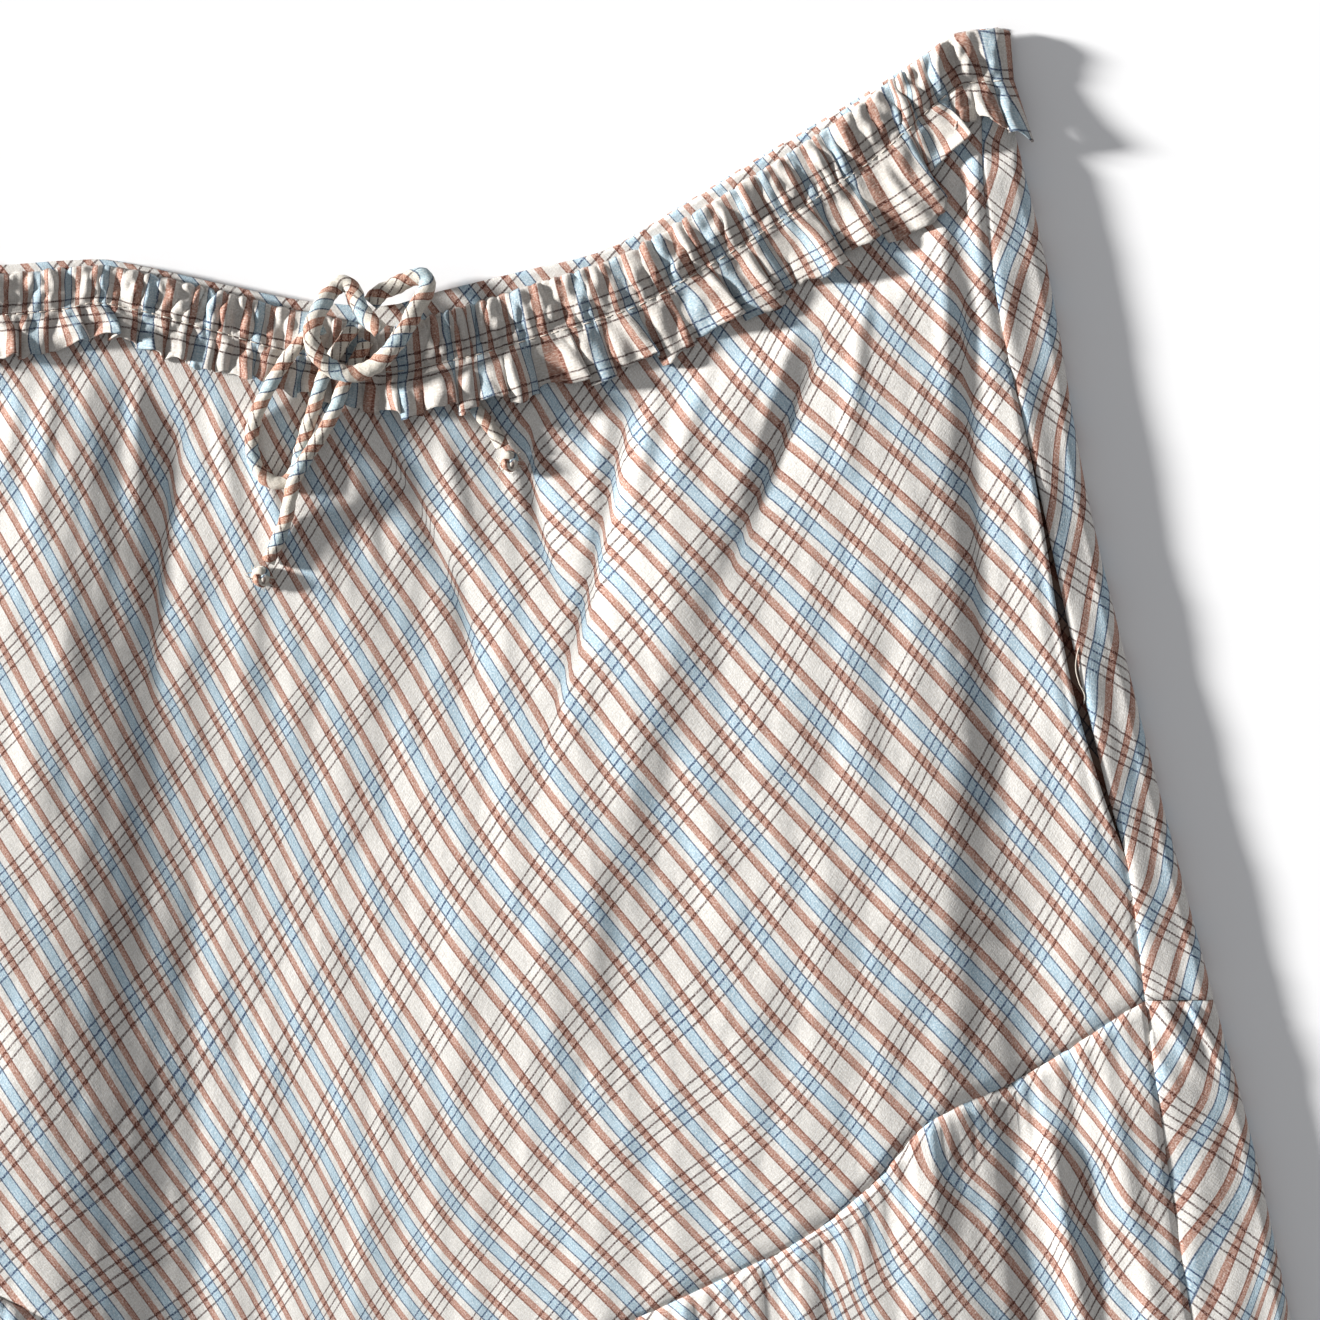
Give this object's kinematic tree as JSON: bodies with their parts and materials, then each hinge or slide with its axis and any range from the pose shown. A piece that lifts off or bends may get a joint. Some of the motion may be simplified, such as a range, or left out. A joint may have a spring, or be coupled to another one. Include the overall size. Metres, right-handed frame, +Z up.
{
  "type": "ruffle skirt",
  "caption": "Tiered cotton skirt in small plaid, with a gathered drawstring waist, a waist frill and a side pocket, laid flat with its front up.",
  "frame": {"origin": "on the surface that the skirt lies on, under the middle of its outline without the drawstring", "axes": "+Y from hem to waist, +X to the right as seen from above, which is the wearer's left side with the pocket, +Z up, out of the skirt's front"},
  "size_m": [0.601, 0.7544, 0.0169],
  "materials": {
    "plaid_cotton": "plain woven cotton, cream with a brown, blue and navy plaid",
    "pocket_cotton": "plain woven cotton",
    "drawstring_cotton": "soft cotton tube"
  },
  "bodies": {
    "root": {"back_waist_frill": "plaid_cotton", "back_upper_panel": "plaid_cotton", "back_lower_tier": "plaid_cotton", "pocket_bag": "pocket_cotton", "front_upper_panel": "plaid_cotton", "front_lower_tier": "plaid_cotton", "front_waist_frill": "plaid_cotton", "tie_bow": "drawstring_cotton", "tie_hanging_loop": "drawstring_cotton", "tie_long_end": "drawstring_cotton", "tie_short_end": "drawstring_cotton", "tie_long_end_knot": "drawstring_cotton", "tie_short_end_knot": "drawstring_cotton"}
  },
  "joints": []
}
